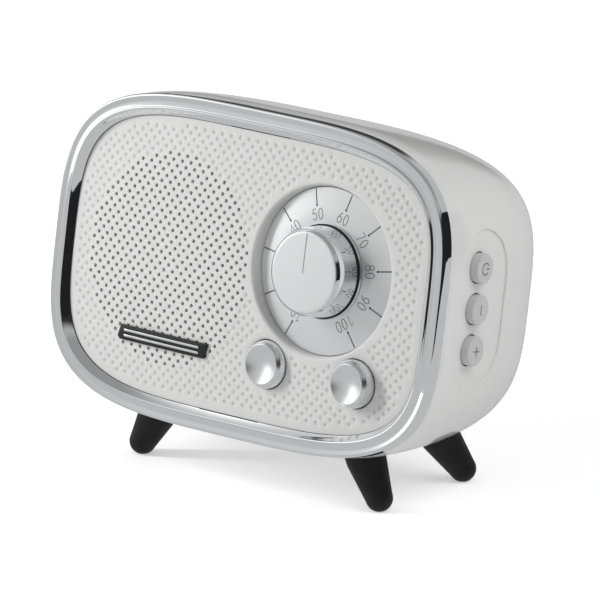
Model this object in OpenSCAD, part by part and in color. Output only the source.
// Tabletop radio-style speaker: rounded box leaning back on four splayed feet,
// chrome bezel, domed perforated front, tuning dial and three side buttons.
// Millimetres, +Z up, front towards -Y. Origin on the table, below the middle.

/* [Body] */
// Width over the bezel
body_w = 190; // [188:1:192]
// Height over the bezel
body_h = 126.4; // [125:0.2:128]
// Depth from the bezel's front edge to the flat back
body_d = 80; // [78:1:84]
// Wall thickness of the housing
wall = 2.8; // [2.6:0.1:3]
// How far the body leans back, degrees
lean = 10; // [9:0.5:11]
// Height of the bezel's centre above the table
centre_h = 83.06; // [82.5:0.01:84]
// How far the housing narrows on each side at the back
round_w = 22.9; // [20:0.1:24]
// How far the housing lowers at top and bottom at the back
round_h = 16.3; // [15:0.1:17]

/* [Front panel] */
// How far the middle of the panel stands in front of the bezel's front edge
crown = 1.6; // [1.2:0.1:1.8]
// Radius of the panel's bulge from side to side
dome_rx = 1078; // [1000:1:1200]
// Radius of the panel's bulge from top to bottom
dome_rz = 516; // [490:1:560]
// Thickness of the panel
panel_t = 2; // [1.8:0.1:2.2]
// Pitch of the hole pattern along a row
pitch = 4.4; // [4.4:0.1:5]
// Diameter of one sound hole
hole_d = 1.3; // [1.1:0.05:1.5]
// Radius of the perforated circle
perf_r = 40.6; // [38:0.1:41]
// Loudspeaker centre, sideways
spk_x = -36.5; // [-37:0.1:-36]

/* [Dial and knobs] */
// Dial centre, sideways
dial_x = 37.2; // [36.8:0.1:37.6]
// Dial centre, upwards
dial_z = 7.5; // [7:0.1:8]
// Radius of the dial plate that shows
dial_r = 31.1; // [30.8:0.1:31.3]
// Depth of the dial plate behind the bezel's front edge
dial_y = 2.2; // [2:0.1:2.4]
// Number of marks on the dial
marks = 10; // [6:1:10]
// Height of the tuning knob above the dial plate
knob_h = 13; // [12:0.1:14]
// Half the distance between the small knobs
small_dx = 20.7; // [20.5:0.1:21]
// Height of the small knobs against the bezel's centre
small_z = -31.2; // [-31.5:0.1:-30.5]
// Radius of a small knob
small_r = 9.2; // [9:0.1:9.3]
// Radius of the control shafts
shaft_r = 3; // [2.9:0.05:3.1]

/* [Side buttons] */
// Depth of the button column behind the bezel's front edge
btn_y = 23.3; // [23:0.1:24]
// Height of the middle button against the bezel's centre
btn_z = 2.2; // [1.8:0.1:3]
// Distance between buttons
btn_gap = 15.5; // [15.2:0.1:16]
// Radius of a button
btn_r = 5.6; // [5.3:0.1:5.7]
// How far a button stands out of the side
btn_up = 1.6; // [0.8:0.1:1.7]

/* [Feet] */
// Radius of a foot's tip
tip_r = 5.2; // [5:0.1:5.4]
// Radius of a foot where it meets the body
foot_r = 7.6; // [7.2:0.1:7.8]

/* [Hidden] */
$fn = 64;

WHITE = [0.93, 0.93, 0.92];
CHROME = [0.78, 0.79, 0.81];
SILVER = [0.86, 0.87, 0.88];
BLACK = [0.07, 0.07, 0.075];
STEEL = [0.62, 0.63, 0.65];
BOARD = [0.1, 0.32, 0.2];
MAGNET_GREY = [0.2, 0.2, 0.21];
CONE_GREY = [0.13, 0.13, 0.14];
CAP_GREY = [0.1, 0.1, 0.11];
PARTS_GREY = [0.12, 0.12, 0.13];
SWITCH_GREY = [0.25, 0.25, 0.27];
COPPER = [0.72, 0.4, 0.18];
SPIDER_TAN = [0.78, 0.7, 0.45];
BRASS = [0.75, 0.6, 0.3];
CELL_BLUE = [0.2, 0.35, 0.6];
SPEAKER_RED = [0.65, 0.1, 0.1];
BATTERY_RED = [0.6, 0.1, 0.1];
RIBBON_GREY = [0.8, 0.8, 0.78];

// Body frame: origin at the bezel's centre, y counts back from its front edge.
bezel_half_w = body_w / 2;
bezel_half_h = body_h / 2;
rim_half_w = bezel_half_w - 0.6;
rim_half_h = bezel_half_h - 0.1;
rim_y = 4.6;           // front edge of the housing
outline_power = 3.62;  // superellipse exponent of the housing's outline
round_power = 1.72;    // exponent of its rounding towards the back
origin_y = -37.56;
cover_seat_y = body_d - 2.6;
board_t = 1.6;
control_y = 16;        // front face of the control board
control_back_y = control_y + board_t;
main_y = 62;           // front face of the main board
main_back_y = main_y + board_t;
flange_y = 8;          // front face of the loudspeaker's flange
flange_t = 1.8;
ear_offset = 32.5;     // loudspeaker's screws from its axis, sideways and up
lug_y = 10;
lug_t = 3;
dial_at = [dial_x, dial_z];
speaker_at = [spk_x, 0];

// screw places, [x, z]
lug_points = corners(60, 49);
cover_points = corners(49.5, 27.5);
speaker_points = corners(ear_offset, ear_offset, spk_x);
control_points = [[9.5, 41], [66, 41], [9.5, -42], [65.5, -41.3]];
main_points = [for (x = [-34, 34]) for (z = [-24, 22]) [x, z]];

// ---- frames ----
module in_body() translate([0, origin_y, centre_h]) rotate([-lean, 0, 0]) children();
// undoes in_body()
module out_of_body() rotate([lean, 0, 0]) translate([0, -origin_y, -centre_h]) children();
// at each [x, z] point, +Z turned to the front
module fwd(points, y) for (p = points)
  translate([p[0], y, p[1]]) rotate([90, 0, 0]) children();
// at each [x, z] point, +Z turned to the back
module aft(points, y) for (p = points)
  translate([p[0], y, p[1]]) rotate([-90, 0, 0]) children();
// on the right side at height z, +Z outwards and +X down
module on_side(z, out) translate([side_x(btn_y), btn_y, z]) rotate([0, 0, 7])
  translate([out, 0, 0]) rotate([0, 90, 0]) children();

// ---- shapes ----
function corners(dx, dz, centre_x = 0) =
  [for (sx = [-1, 1]) for (sz = [-1, 1]) [centre_x + sx * dx, sz * dz]];
function superellipse(half_w, half_h, power, count) = [for (i = [0 : count - 1])
  let (c = cos(360 * i / count), s = sin(360 * i / count))
  [half_w * sign(c) * pow(abs(c), 2 / power), half_h * sign(s) * pow(abs(s), 2 / power)]];
// 1 at the rim, falling to 0 at end_y
function fall(y, end_y) = let (u = min(1, max(0, (y - rim_y) / (end_y - rim_y))))
  pow(1 - pow(u, round_power), 1 / round_power);
function side_x(y) = rim_half_w - round_w * (1 - fall(y, body_d));
// y of the panel's domed front
function dome_y(x, z) = -crown + x * x / (2 * dome_rx) + z * z / (2 * dome_rz);

module block(at, size) translate(at) cube(size);
module ring(outer, inner, h, bore_h) difference() {
  cylinder(r = outer, h = h);
  translate([0, 0, -1]) cylinder(r = inner, h = bore_h);
}
module oval_plate(half, y0, y1) fwd([[0, 0]], y1) linear_extrude(y1 - y0)
  polygon(superellipse(half[0], half[1], 4, 96));

// the housing's outside moved in by inset, from start_y to end_y
module loft(inset, end_y, start_y) {
  count = 72;
  steps = 12;
  stations = concat(start_y < rim_y ? [start_y] : [],
    [for (j = [0 : steps]) rim_y + (end_y - rim_y) * sin(90 * j / steps)]);
  last = len(stations) - 1;
  points = [for (y = stations) let (drop = 1 - fall(y, end_y))
    for (p = superellipse(rim_half_w - inset - round_w * drop,
      rim_half_h - inset - round_h * drop, outline_power, count)) [p[0], y, p[1]]];
  sides = [for (j = [0 : last - 1]) for (i = [0 : count - 1])
    let (i2 = (i + 1) % count, near = j * count, far = near + count)
    each [[near + i, near + i2, far + i2], [near + i, far + i2, far + i]]];
  caps = [[for (i = [0 : count - 1]) count - 1 - i],
    [for (i = [0 : count - 1]) last * count + i]];
  polyhedron(points, concat(sides, caps), convexity = 6);
}

// everything behind the domed front surface, moved back by offset_y
module behind(offset_y) {
  sweep = 13;
  translate([0, dome_rx - crown, 0]) rotate([0, 0, -90 - sweep / 2])
    rotate_extrude(angle = sweep, $fn = 720) intersection() {
      translate([dome_rx - dome_rz, 0]) circle(r = dome_rz - offset_y, $fn = 720);
      translate([dome_rx - 60, -75]) square([80, 150]);
    }
}

// cross-slotted screw: shank along +Z, head below 0
module screw(r, len, head_r, head_h) {
  slot_half = head_r * 0.62;
  slot_len = head_r * 1.24;
  slot_h = head_h * 0.45;
  cylinder(r = r, h = len, $fn = 24);
  translate([0, 0, -head_h]) difference() {
    cylinder(r = head_r, h = head_h, $fn = 32);
    block([-slot_half, -0.25, -0.1], [slot_len, 0.5, slot_h]);
    block([-0.25, -slot_half, -0.1], [0.5, slot_len, slot_h]);
  }
}

// ---- feet ----
// tip's centre [sideways, from origin_y], splay per unit of drop [outwards, backwards], length
front_foot = [[58.35, 9.6], [0.55, -0.10], 23];
rear_foot = [[57.85, 59.55], [0.50, 0.45], 25];
// +Z runs from the tip's centre up into the body; hand is -1 left, 1 right
module foot_frame(foot, hand) {
  tip = foot[0];
  splay = foot[1];
  translate([hand * tip[0], origin_y + tip[1], tip_r - 0.4])
    rotate([0, 0, atan2(-splay[1], -hand * splay[0])])
    rotate([0, atan(norm(splay)), 0]) children();
}
module foot(foot, hand) {
  length = foot[2];
  difference() {
    foot_frame(foot, hand) difference() {
      rotate_extrude() union() {
        polygon([[0, -0.01], [tip_r, -0.01], [foot_r, 15],
          [foot_r, length - 0.05], [0, length - 0.05]]);
        intersection() {
          circle(r = tip_r, $fn = 96);
          translate([0, -tip_r]) square([tip_r, tip_r]);
        }
      }
      translate([0, 0, length - 9]) cylinder(r = 1.5, h = 9.1, $fn = 24);
    }
    // flat on the table
    block([-200, -200, -20], [400, 400, 20]);
  }
}
module front_left_foot() color(BLACK) foot(front_foot, -1);
module front_right_foot() color(BLACK) foot(front_foot, 1);
module rear_left_foot() color(BLACK) foot(rear_foot, -1);
module rear_right_foot() color(BLACK) foot(rear_foot, 1);
module foot_screws() color(STEEL)
  for (hand = [-1, 1]) for (foot = [front_foot, rear_foot]) foot_frame(foot, hand)
    translate([0, 0, foot[2] + 4]) rotate([180, 0, 0])
      screw(r = 1.5, len = 12.5, head_r = 3.1, head_h = 2.2);

// ---- battery places ----
cell_y = 39;
cell_z = -41.5;
holder_z = -52.6;      // underside of the holder
holder_h = 15;
holder_seat_z = holder_z + 1.8;
holder_x = [-26, 26];
module at_holder_screws(z) for (x = holder_x) for (y = [-9, 9])
  translate([x, cell_y + y, z]) children();

// ---- side button places ----
button_screw_z = [btn_z + 26, btn_z - 26];
// row 1 is the top button, -1 the bottom one
function button_z(row) = btn_z + row * btn_gap;

// ---- housing ----
cover_half = [62, 37.5];
module shell() difference() {
  loft(0, body_d, rim_y);
  loft(wall, body_d - 4, rim_y - 1.5);
  oval_plate([58, 33.5], body_d - 6, body_d + 1);
  oval_plate(cover_half, cover_seat_y, body_d + 1);
}
module supports() {
  for (hand = [-1, 1]) for (foot = [front_foot, rear_foot])
    out_of_body() foot_frame(foot, hand)
      translate([0, 0, 10]) cylinder(r = 10.4, h = foot[2] - 6);
  for (p = lug_points) block([p[0] - 5, lug_y, p[1] > 0 ? 44.5 : -64.5], [10, lug_t, 20]);
  aft(cover_points, body_d - 12) cylinder(r = 4.5, h = 9.4);
  for (x = holder_x) block([x - 4, cell_y - 12, -64], [8, 24, 64 + holder_z]);
  // pad behind the buttons
  on_side(btn_z, -3) linear_extrude(3, center = true) translate([-27, -9]) square([54, 20]);
  for (z = button_screw_z) on_side(z, -10.5) cylinder(r = 2.6, h = 8);
}
// upright stadium around the buttons
module recess(h) {
  centre_z = 1.5;
  centre_y = 4.2;
  half = 13;
  r = 17.5;
  translate([0, 0, -h / 2]) linear_extrude(h) union() {
    for (s = [-1, 1]) translate([-centre_z - s * half, centre_y]) circle(r = r);
    translate([-centre_z - half, centre_y - r]) square([2 * half, 2 * r]);
  }
}
module housing_cuts() {
  for (hand = [-1, 1]) for (foot = [front_foot, rear_foot])
    out_of_body() foot_frame(foot, hand) {
      translate([0, 0, 4]) cylinder(r = foot_r + 0.15, h = foot[2] - 4);
      cylinder(r = 1.7, h = 60);
    }
  aft(lug_points, lug_y - 1) cylinder(r = 1.75, h = 6);
  aft(cover_points, body_d - 11) cylinder(r = 1.3, h = 9);
  at_holder_screws(-57.2) cylinder(r = 1.2, h = 8);
  on_side(0, 8.5) recess(20);
  for (row = [-1 : 1]) on_side(button_z(row), -8) cylinder(r = btn_r + 0.5, h = 20);
  for (z = button_screw_z) on_side(z, -11) cylinder(r = 1, h = 7);
}
module housing() color(WHITE) in_body() difference() {
  union() {
    shell();
    intersection() {
      loft(0, body_d, rim_y);
      supports();
    }
  }
  housing_cuts();
}
module panel_screws() color(STEEL) in_body() fwd(lug_points, lug_y + lug_t)
  screw(r = 1.5, len = 7.8, head_r = 3, head_h = 2);

// ---- rear cover ----
ports_z = -20;
aux_x = 14;
charge_x = -14;
module rear_cover() color(WHITE) in_body() difference() {
  union() {
    oval_plate(cover_half - [0.3, 0.3], cover_seat_y, body_d - 0.3);
    aft(main_points, main_back_y) cylinder(r = 3, h = cover_seat_y - main_back_y + 0.4);
  }
  aft(cover_points, body_d - 4) {
    cylinder(r = 1.7, h = 5);
    translate([0, 0, 2.7]) cylinder(r = 3.4, h = 5);
  }
  aft(main_points, main_y) cylinder(r = 1.25, h = 9);
  aft([[aux_x, ports_z]], body_d - 5) cylinder(r = 3.3, h = 6);
  translate([charge_x, body_d - 2.5, ports_z]) cube([9.2, 8, 4.2], center = true);
  // shallow recess around the sockets
  fwd([[0, ports_z]], body_d + 0.3) linear_extrude(1.2) union() {
    square([48, 12], center = true);
    for (s = [-1, 1]) translate([s * 24, 0]) circle(r = 6);
  }
}
module cover_screws() color(STEEL) in_body() fwd(cover_points, body_d - 1.3)
  screw(r = 1.3, len = 9, head_r = 2.9, head_h = 0.9);

// ---- bezel: one closed profile carried round the outline ----
bezel_count = 96;
lip_inset = 9.6;
// front face: [inset, y]
bezel_front = [
  [0, 4.55], [0.12, 2.2], [0.4, 1.1], [1.0, 0.35], [1.9, 0],
  [3.6, 0.25], [5.3, 0.05], [5.9, -0.4], [6.5, -0.75], [7.1, -0.55]];
// lip over the panel: [inset, y from the dome]
bezel_lip = [[lip_inset, -0.37], [lip_inset, -0.12], [6.5, -0.12]];
// back: [inset, y]
bezel_back = [[6.3, 8.6], [4.9, 8.6], [4.9, 4.55]];
function bezel_outline(inset) = superellipse(bezel_half_w - inset, bezel_half_h - inset,
  3.64 + 0.36 * inset / lip_inset, bezel_count);
function flat_rings(profile) = [for (s = profile)
  [for (p = bezel_outline(s[0])) [p[0], s[1], p[1]]]];
function dome_rings(profile) = [for (s = profile)
  [for (p = bezel_outline(s[0])) [p[0], dome_y(p[0], p[1]) + s[1], p[1]]]];
module front_bezel() color(CHROME) in_body() {
  rings = concat(flat_rings(bezel_front), dome_rings(bezel_lip), flat_rings(bezel_back));
  polyhedron([for (r = rings) each r],
    [for (i = [0 : bezel_count - 1]) for (j = [0 : len(rings) - 1])
      let (i2 = (i + 1) % bezel_count, here = j * bezel_count,
        next = (j + 1) % len(rings) * bezel_count)
      each [[here + i, next + i, next + i2], [here + i, next + i2, here + i2]]],
    convexity = 8);
}

// ---- front panel ----
// middle of the hole grid and height of the perforated circle's centre
grid_x = -0.345;
grid_z = 1.687;
perf_z = -0.5;
holes = [for (i = [-40 : 40]) for (j = [-22 : 22]) if ((i + j) % 2 == 0)
  let (x = grid_x + i * pitch / 2, z = grid_z + j * pitch / 2)
  if (norm([x - spk_x, z - perf_z]) < perf_r) [x, z]];
dial_plate_t = 1;
dial_back_y = dial_y + dial_plate_t;
small_points = [for (hand = [-1, 1]) [dial_x + hand * small_dx, small_z]];

module perforated_skin() difference() {
  intersection() {
    behind(0);
    fwd([[0, 0]], 30) linear_extrude(60) difference() {
      polygon(bezel_outline(6.9));
      for (h = holes) translate(h) circle(r = hole_d / 2, $fn = 16);
    }
  }
  behind(panel_t);
}
module panel_bosses() {
  fwd([dial_at], dial_back_y) cylinder(r = 34.6, h = 12);
  fwd(speaker_points, flange_y - 1) cylinder(r = 3.6, h = 14);
  fwd(control_points, control_y) cylinder(r = 3, h = 24);
  fwd(lug_points, lug_y) cylinder(r = 3.6, h = 18);
  fwd([speaker_at], flange_y - 1) ring(43.4, 41.9, 12, 20);
}
module grille_panel() color(WHITE) in_body() difference() {
  union() {
    perforated_skin();
    intersection() {
      behind(panel_t / 2);
      panel_bosses();
    }
  }
  // dial opening with a flared edge
  fwd([dial_at], 12) cylinder(r = dial_r + 0.4, h = 12 - dial_y);
  fwd([dial_at], dial_y) cylinder(r1 = dial_r, r2 = dial_r + 1.6, h = 1.6);
  fwd([dial_at], dial_y - 1.5) cylinder(r = dial_r + 1.55, h = 6);
  fwd(small_points, 12) cylinder(r = small_r + 0.3, h = 20);
  // screw holes
  fwd(speaker_points, flange_y) cylinder(r = 1.3, h = 4.6);
  fwd(control_points, control_y + 1) cylinder(r = 1.1, h = 9);
  fwd(lug_points, lug_y + 1) cylinder(r = 1.5, h = 6.2);
}
module speaker_cloth() color(BLACK) in_body() intersection() {
  difference() {
    behind(panel_t);
    behind(panel_t + 0.4);
  }
  fwd([speaker_at], 20) cylinder(r = 41.2, h = 40);
  difference() {
    block([-90, -20, -60], [140, 40, 120]);
    fwd([dial_at], 30) cylinder(r = 35, h = 60);
  }
}

// ---- badge on the panel ----
badge_at = [-34.7, -31.7];
plate_up = 1.2;
bars_up = 1.8;
// a flat shape raised from one height above the dome to another
module on_dome(low, high) difference() {
  intersection() {
    behind(-high);
    fwd([badge_at], 10) linear_extrude(20) children();
  }
  behind(-low);
}
module badge_plate() color(BLACK) in_body() on_dome(0, plate_up)
  polygon([[-22.7, -1.6], [-21.2, 2.9], [22.7, 2.9], [21.2, -2.9], [-21.6, -2.9]]);
module badge_bars() color(CHROME) in_body() on_dome(plate_up, bars_up)
  for (s = [-1, 1]) translate([0, s * 1.05]) square([38, 0.9], center = true);

// ---- dial ----
mark_start = dial_r * 0.8;
function mark_angle(i) = 91.2 + 360 / 11 * (marks / 2 - 0.5 - i);
module dial_plate() color(SILVER) in_body() difference() {
  fwd([dial_at], dial_back_y) cylinder(r = dial_r + 0.35, h = dial_plate_t, $fn = 128);
  fwd([dial_at], dial_back_y + 1) cylinder(r = 4.2, h = dial_plate_t + 2);
  for (i = [0 : marks - 1]) fwd([dial_at], dial_y + 0.2) rotate([0, 0, mark_angle(i)]) {
    block([mark_start, -0.25, 0], [dial_r * 0.2 + 1, 0.5, 1]);
    translate([mark_start, 0, 0]) cylinder(r = 0.5, h = 1, $fn = 16);
  }
}
face_t = 1.2;
// outside of the tuning knob: [radius, height above the dial plate]
knob_profile = [
  [0, 0.4], [18.1, 0.4], [18.1, 1.2], [17.7, 1.5], [17.2, 1.6],
  [16.7, knob_h - 3.6], [16.5, knob_h - 2.6], [16.0, knob_h - 1],
  [15.6, knob_h - 0.35], [15.45, knob_h - 0.2], [0, knob_h - 0.2]];
module tuning_knob() color(CHROME) in_body() fwd([dial_at], dial_y) difference() {
  rotate_extrude($fn = 96) polygon(knob_profile);
  translate([0, 0, knob_h - face_t]) cylinder(r = 15.35, h = 3);
  rotate_extrude() polygon([[5.5, 0], [14.5, 0], [14, knob_h - 3.4], [5.5, knob_h - 3.4]]);
  cylinder(r = shaft_r, h = 9.5);
}
module knob_face() color(SILVER) in_body() fwd([dial_at], dial_y) difference() {
  translate([0, 0, knob_h - face_t]) cylinder(r = 15.3, h = face_t, $fn = 96);
  block([-0.45, 0, knob_h - 0.4], [0.9, 16, 1]);
}

// ---- controls ----
// D-cut shaft with a collar that stays inside the control
module shaft(at, tip_y) {
  base_y = control_y - 0.6;
  length = base_y - tip_y;
  in_body() fwd([at], base_y) difference() {
    union() {
      cylinder(r = shaft_r, h = length);
      cylinder(r = 5, h = 2);
    }
    block([-4, shaft_r - 0.9, length - 6], [8, 4, 7]);
  }
}
module pot(at) in_body() fwd([at], control_y) difference() {
  union() {
    cylinder(r = 8.2, h = 7);
    cylinder(r = 3.9, h = 10.6);
    block([-5, 3.5, 0], [10, 8, 2.2]);
  }
  translate([0, 0, -1]) cylinder(r = shaft_r + 0.05, h = 13);
  translate([0, 0, 0.4]) cylinder(r = 5.2, h = 2.5);
}
module tuning_shaft() color(STEEL) shaft(dial_at, dial_y - 9.4);
module tuning_pot() color(STEEL) pot(dial_at);

small_h = 8;
small_tip_y = -0.9;
// outside of a small knob: [radius, height]
small_profile = [
  [0, 0], [small_r, 0], [small_r, 5.2], [small_r - 0.15, 6.1], [small_r - 0.6, 7],
  [small_r - 1.2, 7.65], [small_r - 1.65, small_h], [0, small_h]];
module small_knob(at) in_body() fwd([at], 4.2) difference() {
  rotate_extrude($fn = 96) polygon(small_profile);
  // dished face
  translate([0, 0, small_h + 17.4]) sphere(r = 18.8, $fn = 128);
  translate([0, 0, -0.1]) cylinder(r = shaft_r, h = 5.3);
}
module left_knob() color(CHROME) small_knob(small_points[0]);
module right_knob() color(CHROME) small_knob(small_points[1]);
module left_shaft() color(STEEL) shaft(small_points[0], small_tip_y);
module right_shaft() color(STEEL) shaft(small_points[1], small_tip_y);
module left_pot() color(STEEL) pot(small_points[0]);
module right_pot() color(STEEL) pot(small_points[1]);
module control_board() color(BOARD) in_body() difference() {
  block([5, control_y, -46], [65, board_t, 91]);
  fwd(control_points, control_y + 3) cylinder(r = 1.4, h = 5);
}
module control_board_screws() color(STEEL) in_body() fwd(control_points, control_back_y)
  screw(r = 1.1, len = 8.5, head_r = 2.3, head_h = 1.5);

// ---- loudspeaker, along its own axis: +Z is forward, 0 is the flange's back ----
magnet_z = -30;
magnet_t = 9;
top_plate_z = magnet_z + magnet_t;
top_plate_t = 4;
basket_z = top_plate_z + top_plate_t;
// section of the basket: [radius, z]
basket_profile = [
  [35.4, 0], [37, 0], [38.6, 0.4], [43.4, 0.4], [43.4, flange_t], [37, flange_t],
  [36.4, 1.2], [20.2, -13.4], [20.2, -15.2], [11.6, -15.2], [11.6, basket_z],
  [21.9, basket_z], [21.9, -14], [35.4, -1.4]];
cone_profile = [
  [10.45, -10.6], [11, -10.6], [30.2, 1.3], [32.6, 1.3], [32.6, 1.8], [30, 1.8],
  [10.45, -9.9]];
module on_speaker() in_body() fwd([speaker_at], flange_y + flange_t) children();
module at_ears(z) for (i = [0 : 3]) rotate([0, 0, 45 + i * 90])
  translate([ear_offset * sqrt(2), 0, z]) children();
module speaker_basket() color(STEEL) on_speaker() difference() {
  union() {
    difference() {
      rotate_extrude() polygon(basket_profile);
      // windows
      for (i = [0 : 3]) rotate([0, 0, i * 90]) block([22, -8, -13.2], [20, 16, 11]);
    }
    at_ears(0) cylinder(r = 4.6, h = flange_t);
  }
  at_ears(-1) cylinder(r = 1.6, h = 4);
  translate([0, 0, -3]) cylinder(r = 35.2, h = 8);
}
module speaker_gasket() color(BLACK) on_speaker()
  translate([0, 0, flange_t]) ring(43.2, 38.4, 1, 3);
module top_plate() color(STEEL) on_speaker()
  translate([0, 0, top_plate_z]) ring(21, 11.3, top_plate_t, 6);
module speaker_magnet() color(MAGNET_GREY) on_speaker()
  translate([0, 0, magnet_z]) ring(22.5, 12.5, magnet_t, 11);
module yoke() color(STEEL) on_speaker() union() {
  translate([0, 0, magnet_z - 3.5]) cylinder(r = 21, h = 3.5);
  translate([0, 0, magnet_z - 0.5]) cylinder(r = 9.4, h = 13.4);
}
module speaker_cone() color(CONE_GREY) on_speaker() rotate_extrude() polygon(cone_profile);
module dust_cap() color(CAP_GREY) on_speaker() intersection() {
  translate([0, 0, -27.2]) difference() {
    sphere(r = 20.6, $fn = 96);
    sphere(r = 20.1, $fn = 96);
  }
  translate([0, 0, -9.85]) cylinder(r = 10.4, h = 8);
}
module voice_coil() color(COPPER) on_speaker() translate([0, 0, -24]) difference() {
  union() {
    cylinder(r = 10.3, h = 14.1);
    cylinder(r = 10.8, h = 6);
  }
  translate([0, 0, -1]) cylinder(r = 9.9, h = 17);
}
module surround() color(BLACK) on_speaker() translate([0, 0, flange_t]) union() {
  // half roll, open at the back
  rotate_extrude() difference() {
    translate([34.3, 0]) circle(r = 2.6);
    translate([34.3, 0]) circle(r = 2.1);
    translate([30, -4]) square([10, 4]);
  }
  ring(32, 30.4, 0.5, 3);
  ring(38.2, 36.6, 0.5, 3);
}
// corrugated disc, [radius, z] along one face
function spider_point(i, z) = [10.3 + i * 0.4125, 0.35 * sin(i * 90) + z];
module spider() color(SPIDER_TAN) on_speaker() translate([0, 0, -14]) rotate_extrude()
  polygon(concat([for (i = [0 : 24]) spider_point(i, 0.5)],
    [for (i = [24 : -1 : 0]) spider_point(i, 0)]));
module speaker_terminals() color(BRASS) on_speaker()
  for (s = [-1, 1]) block([s * 5 - 1.2, 21.9, basket_z], [2.4, 7, 0.8]);
module speaker_screws() color(STEEL) in_body() fwd(speaker_points, flange_y + flange_t)
  screw(r = 1.3, len = 5.8, head_r = 2.7, head_h = 1.7);

// ---- electronics at the back ----
module main_board() color(BOARD) in_body() difference() {
  block([-40, main_y, -30], [80, board_t, 58]);
  aft(main_points, main_y - 2) cylinder(r = 1.5, h = 6);
}
// boxes on the board's front: [x, z, width, height, depth]
board_boxes = [
  [-12, -4, 12, 12, 1.6], [10, 6, 15, 12, 2.4], [-30, 5, 10, 8, 1.4],
  [-30.5, 17, 11, 6, 5.5], [18.5, -20, 7, 5, 5.5], [28.5, -20, 7, 5, 5.5]];
// upright cylinders on the board's front: [x, z, radius, length]
board_cans = [[-28, -8, 3.2, 8], [-19, -8, 3.2, 8], [8, -12, 4, 9]];
module board_parts() color(PARTS_GREY) in_body() {
  for (b = board_boxes) block([b[0], main_y - b[4], b[1]], [b[2], b[4], b[3]]);
  for (c = board_cans) fwd([c], main_y) cylinder(r = c[2], h = c[3]);
}
module main_board_screws() color(STEEL) in_body() aft(main_points, main_y)
  screw(r = 1.25, len = 8, head_r = 2.5, head_h = 1.6);
module aux_socket() color(BLACK) in_body() difference() {
  union() {
    block([aux_x - 4, main_back_y, ports_z - 3.5], [8, body_d - 2.8 - main_back_y, 7]);
    aft([[aux_x, ports_z]], body_d - 3) cylinder(r = 3.1, h = 1.7);
  }
  aft([[aux_x, ports_z]], body_d - 15) cylinder(r = 1.8, h = 16);
}
module charge_socket() color(STEEL) in_body() difference() {
  union() {
    block([charge_x - 3.8, main_back_y, ports_z - 1.4],
      [7.6, body_d - 1.4 - main_back_y, 2.8]);
    block([charge_x - 4.5, main_back_y, ports_z - 2.4], [9, 3, 4.8]);
  }
  block([charge_x - 3.4, body_d - 7.4, ports_z - 1], [6.8, 8, 2]);
  block([charge_x - 2.3, body_d - 9, ports_z - 0.3], [4.6, 1, 0.6]);
}

// ---- side buttons, along the side's outward normal ----
symbol_t = 0.25;
edge = 0.4;            // chamfer of a button's face
// a flanged button; its children are the symbol on the face
module button(row) in_body() on_side(button_z(row), 0) union() {
  difference() {
    union() {
      translate([0, 0, -4.8]) cylinder(r = btn_r, h = 4.4 + btn_up);
      translate([0, 0, btn_up - edge - 0.01])
        cylinder(r1 = btn_r, r2 = btn_r - edge, h = edge + 0.01);
      translate([0, 0, -6]) cylinder(r = 7, h = 1.3);
    }
    // ring groove in the back
    translate([0, 0, -6.5]) difference() {
      cylinder(r = 4.6, h = 5);
      cylinder(r = 2.4, h = 6);
    }
  }
  translate([0, 0, btn_up - 0.01]) children();
}
module symbol_bar() block([-1.9, -0.3, 0], [3.8, 0.6, symbol_t]);
module power_button() color(SILVER) button(1) {
  block([-0.3, 0.4, 0], [0.6, 2.2, symbol_t]);
  rotate([0, 0, 125]) rotate_extrude(angle = 290) translate([1.8, 0]) square([0.55, symbol_t]);
}
module minus_button() color(SILVER) button(0) symbol_bar();
module plus_button() color(SILVER) button(-1) {
  symbol_bar();
  block([-0.3, -1.9, 0], [0.6, 3.8, symbol_t]);
}
module plunger(row) in_body() on_side(button_z(row), -8.6) cylinder(r = 1.7, h = 2.6);
module power_plunger() color(BLACK) plunger(1);
module minus_plunger() color(BLACK) plunger(0);
module plus_plunger() color(BLACK) plunger(-1);
module button_switches() color(SWITCH_GREY) in_body()
  for (row = [-1 : 1]) on_side(button_z(row), -10.5) difference() {
    block([-3, -3, 0], [6, 6, 3.5]);
    translate([0, 0, 1]) cylinder(r = 1.75, h = 4);
  }
module button_board() color(BOARD) in_body() difference() {
  on_side(btn_z, -12.1) block([-29.5, -7, 0], [59, 14, board_t]);
  for (z = button_screw_z) on_side(z, -14) cylinder(r = 1.3, h = 5);
}
module button_board_screws() color(STEEL) in_body() for (z = button_screw_z)
  on_side(z, -12.1) screw(r = 1, len = 6.6, head_r = 2.1, head_h = 1.3);

// ---- battery ----
cell_len = 64.4;
pocket_r = 9.35;
module battery_cell() color(CELL_BLUE) in_body()
  translate([-32.9, cell_y, cell_z]) rotate([0, 90, 0]) union() {
    cylinder(r = 9.2, h = cell_len);
    translate([0, 0, cell_len]) cylinder(r = 3, h = 1.2);
  }
module battery_holder() color(BLACK) in_body() difference() {
  block([-35.5, cell_y - 11, holder_z], [71, 22, holder_h]);
  translate([-33, cell_y, cell_z]) rotate([0, 90, 0]) cylinder(r = pocket_r, h = 66);
  block([-33, cell_y - pocket_r, cell_z], [66, 2 * pocket_r, 20]);
  at_holder_screws(-60) cylinder(r = 1.4, h = 30);
  at_holder_screws(holder_seat_z) cylinder(r = 2.8, h = 30);
}
module holder_screws() color(STEEL) in_body() at_holder_screws(holder_seat_z)
  rotate([180, 0, 0]) screw(r = 1.2, len = 5.8, head_r = 2.3, head_h = 1.4);

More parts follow.
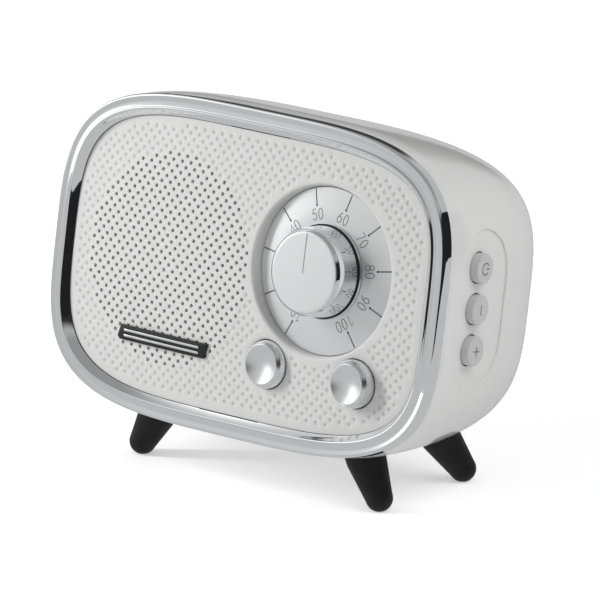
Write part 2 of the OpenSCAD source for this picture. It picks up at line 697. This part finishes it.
// ---- wiring: straight lengths joined by slightly larger beads ----
wire_r = 0.7;
module wire(points) for (i = [0 : len(points) - 2])
  let (v = points[i + 1] - points[i], length = norm(v)) {
    translate(points[i]) rotate([0, acos(v[2] / length), atan2(v[1], v[0])])
      cylinder(r = wire_r, h = length, $fn = 24);
    if (i > 0) translate(points[i]) sphere(r = wire_r * 1.12, $fn = 24);
  }
// x is listed at the start, the second bend and the end
module speaker_wires() color(SPEAKER_RED) in_body()
  for (x = [[spk_x - 5, -28, -27], [spk_x + 5, -23, -22]])
    wire([[x[0], 27, 28.2], [x[0], 36, 28.2], [x[1], 48, 24], [x[2], 56.3, 20]]);
module battery_wires() color(BATTERY_RED) in_body()
  for (x = [[31, 31.5, 31], [34, 33.5, 33.5]])
    wire([[x[0], cell_y + 10, holder_z + holder_h + 0.1], [x[0], cell_y + 10, -31],
      [x[1], 52, -22], [x[2], 56, -17.5]]);
module ribbon_cables() color(RIBBON_GREY) in_body() {
  // control board to main board
  block([50, control_back_y, 28], [12, 3, 4]);
  block([51, control_back_y + 2.9, 29.5], [10, 37, 0.6]);
  block([29, 47.5, 29.5], [32, 10, 0.6]);
  block([29, 57.1, 16.5], [10, 0.6, 13.6]);
  block([28.5, 57.6, 14.5], [11, main_y - 57.6, 4]);
  // button board to main board
  block([70, 18.5, -18.8], [10.2, 8, 0.6]);
  block([70, 18.5, -18.8], [8, 41, 0.6]);
  block([36.5, 51.5, -18.8], [41.5, 8, 0.6]);
  block([36.4, 57, -20], [3.4, main_y - 57, 3]);
}

housing();
rear_cover();
front_bezel();
grille_panel();
speaker_cloth();
badge_plate();
badge_bars();
dial_plate();
tuning_knob();
knob_face();
tuning_shaft();
tuning_pot();
left_knob();
left_shaft();
left_pot();
right_knob();
right_shaft();
right_pot();
control_board();
control_board_screws();
speaker_basket();
speaker_gasket();
speaker_magnet();
top_plate();
yoke();
speaker_cone();
dust_cap();
voice_coil();
surround();
spider();
speaker_terminals();
speaker_screws();
main_board();
board_parts();
aux_socket();
charge_socket();
main_board_screws();
power_button();
minus_button();
plus_button();
power_plunger();
minus_plunger();
plus_plunger();
button_switches();
button_board();
button_board_screws();
battery_cell();
battery_holder();
holder_screws();
front_left_foot();
front_right_foot();
rear_left_foot();
rear_right_foot();
foot_screws();
panel_screws();
cover_screws();
speaker_wires();
battery_wires();
ribbon_cables();
